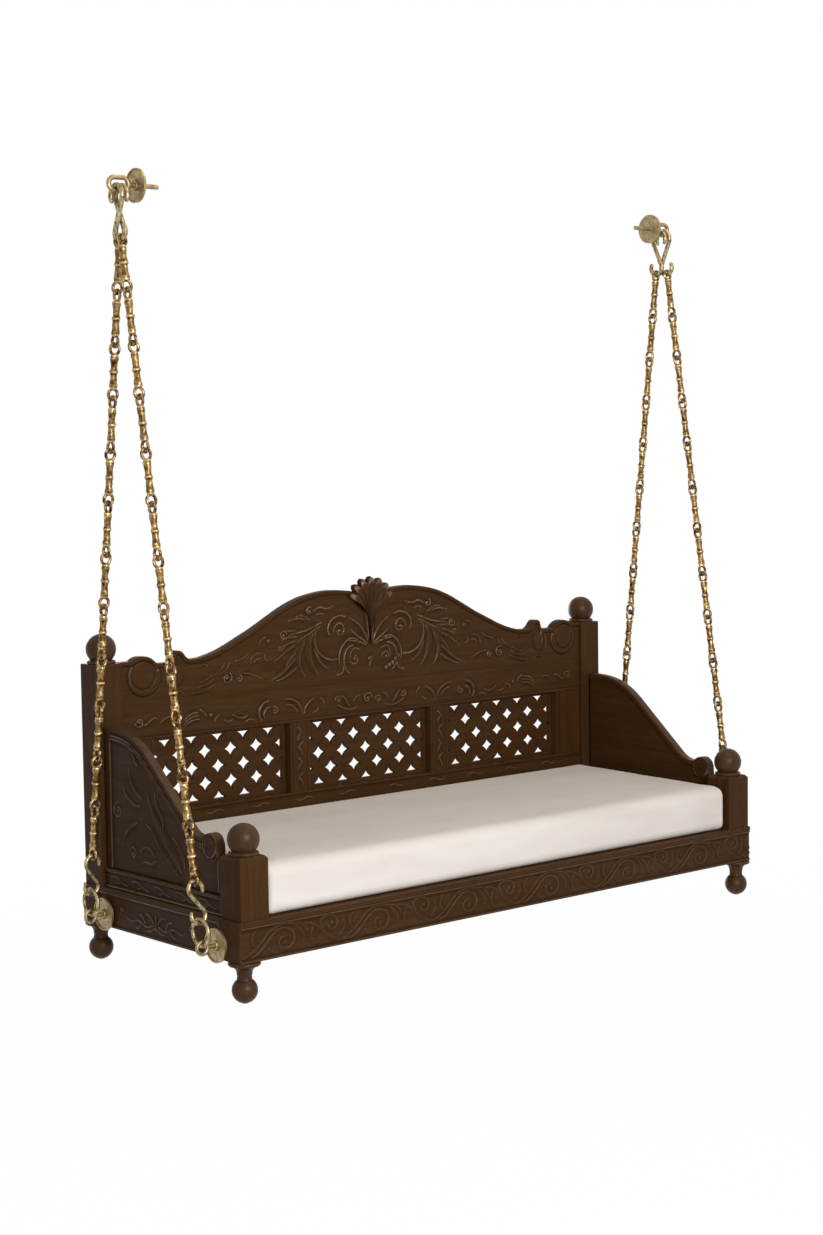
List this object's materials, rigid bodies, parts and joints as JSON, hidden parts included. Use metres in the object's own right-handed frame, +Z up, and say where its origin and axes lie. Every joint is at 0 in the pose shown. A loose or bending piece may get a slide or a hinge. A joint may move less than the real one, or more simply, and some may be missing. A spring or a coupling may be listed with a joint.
{
  "type": "jhoola swing",
  "caption": "Traditional hardwood swing bench with a carved back, lattice panels, scrolled arms and a mattress, hung on chains with hooks and rings from beam fittings.",
  "frame": {"origin": "on the level of the feet, under the middle of the seat frame", "axes": "+X to the right seen from the front, +Y to the back, +Z up; pieces named left are on the -X side"},
  "size_m": [1.9818, 0.704, 1.988],
  "materials": {
    "carved_wood": "satin dark walnut stain with worn edges",
    "deck_wood": "plain oiled planks and dowels",
    "antique_brass": "cast antique brass with dark patina in the hollows",
    "steel": "plain screws",
    "mattress_cover": "woven cotton, off-white to beige"
  },
  "bodies": {
    "beam_fittings": {"beam_plates": "antique_brass", "beam_eyes": "antique_brass"},
    "hooks_left": {"beam_hook_front_left": "antique_brass", "beam_hook_back_left": "antique_brass"},
    "strands_left": {"chain_front_left": "antique_brass", "chain_back_left": "antique_brass", "lower_hooks_left": "antique_brass", "lower_rings_left": "antique_brass"},
    "bench": {"anchor_eyes": "antique_brass", "anchor_nuts": "antique_brass", "anchor_plates": "antique_brass", "anchor_washers": "antique_brass", "arm_panel_left": "carved_wood", "arm_panel_right": "carved_wood", "arm_plinth_left": "carved_wood", "arm_plinth_right": "carved_wood", "back_dowels": "deck_wood", "back_rail": "carved_wood", "bottom_rail": "carved_wood", "crest_board": "carved_wood", "crest_palmette": "carved_wood", "end_stiles": "carved_wood", "finial_back_left": "carved_wood", "finial_back_right": "carved_wood", "finial_front_left": "carved_wood", "finial_front_right": "carved_wood", "foot_back_left": "carved_wood", "foot_back_right": "carved_wood", "foot_front_left": "carved_wood", "foot_front_right": "carved_wood", "frieze_rail": "carved_wood", "front_rail": "carved_wood", "lattice_centre": "carved_wood", "lattice_left": "carved_wood", "lattice_right": "carved_wood", "ledger_screws": "steel", "mullions": "carved_wood", "plate_screws": "antique_brass", "post_back_left": "carved_wood", "post_back_right": "carved_wood", "post_front_left": "carved_wood", "post_front_right": "carved_wood", "seat_ledgers": "deck_wood", "seat_planks": "deck_wood", "seat_stretchers": "deck_wood", "side_rail_left": "carved_wood", "side_rail_right": "carved_wood", "toe_panel": "carved_wood"},
    "mattress": {"mattress": "mattress_cover"},
    "strands_right": {"chain_front_right": "antique_brass", "chain_back_right": "antique_brass", "lower_hooks_right": "antique_brass", "lower_rings_right": "antique_brass"},
    "hooks_right": {"beam_hook_front_right": "antique_brass", "beam_hook_back_right": "antique_brass"}
  },
  "joints": [
    {"name": "swing", "type": "hinge", "parent": "beam_fittings", "child": "hooks_left", "pos_m": [-0.957, 0.0347, 1.93], "axis": [1, 0, 0], "range_deg": [-20, 20]},
    {"name": "sway", "type": "hinge", "parent": "hooks_left", "child": "strands_left", "pos_m": [-0.957, 0.0347, 1.8127], "axis": [0, 1, 0], "range_deg": [-5, 5]},
    {"name": "bench_level", "type": "hinge", "parent": "strands_left", "child": "bench", "pos_m": [-0.957, 0, 0.1372], "axis": [0, 1, 0], "range_deg": [-5, 5]},
    {"name": "sway_right", "type": "hinge", "parent": "bench", "child": "strands_right", "pos_m": [0.957, 0, 0.1372], "axis": [0, 1, 0], "range_deg": [-5, 5]},
    {"name": "swing_right", "type": "hinge", "parent": "beam_fittings", "child": "hooks_right", "pos_m": [0.957, 0.0347, 1.93], "axis": [1, 0, 0], "range_deg": [-20, 20]},
    {"name": "mattress_lift", "type": "slide", "parent": "bench", "child": "mattress", "axis": [0, 0, 1], "range_m": [0, 0.3]}
  ],
  "couplings": [
    {"joint": "bench_level", "follows": "sway", "ratio": -1},
    {"joint": "sway_right", "follows": "sway", "ratio": 1},
    {"joint": "swing_right", "follows": "swing", "ratio": 1}
  ]
}
